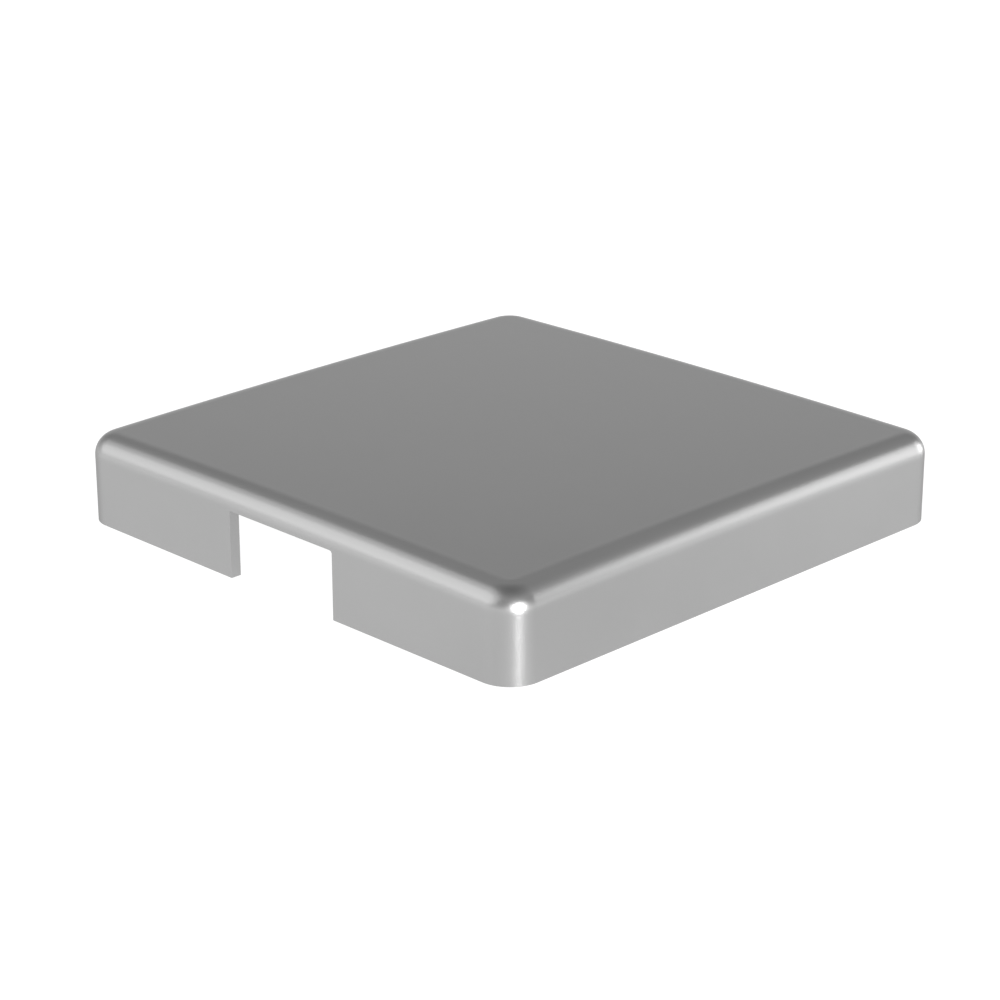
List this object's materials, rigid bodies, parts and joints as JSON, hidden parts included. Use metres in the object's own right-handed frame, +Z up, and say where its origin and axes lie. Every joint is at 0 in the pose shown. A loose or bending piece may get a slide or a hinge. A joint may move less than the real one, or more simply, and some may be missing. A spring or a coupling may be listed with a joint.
{
  "type": "post cap",
  "caption": "Square open-bottomed cap with a crowned top, rounded edges and a rectangular notch in one wall, to cover the end of a square post.",
  "frame": {"origin": "centre of the square rim, in the plane of the rim", "axes": "+Z up through the middle of the crowned top, -Y out through the wall with the notch, +X along that wall"},
  "size_m": [0.106, 0.106, 0.0168],
  "materials": {
    "satin_aluminium": "satin"
  },
  "bodies": {
    "root": {"post_cap": "satin_aluminium"}
  },
  "joints": []
}
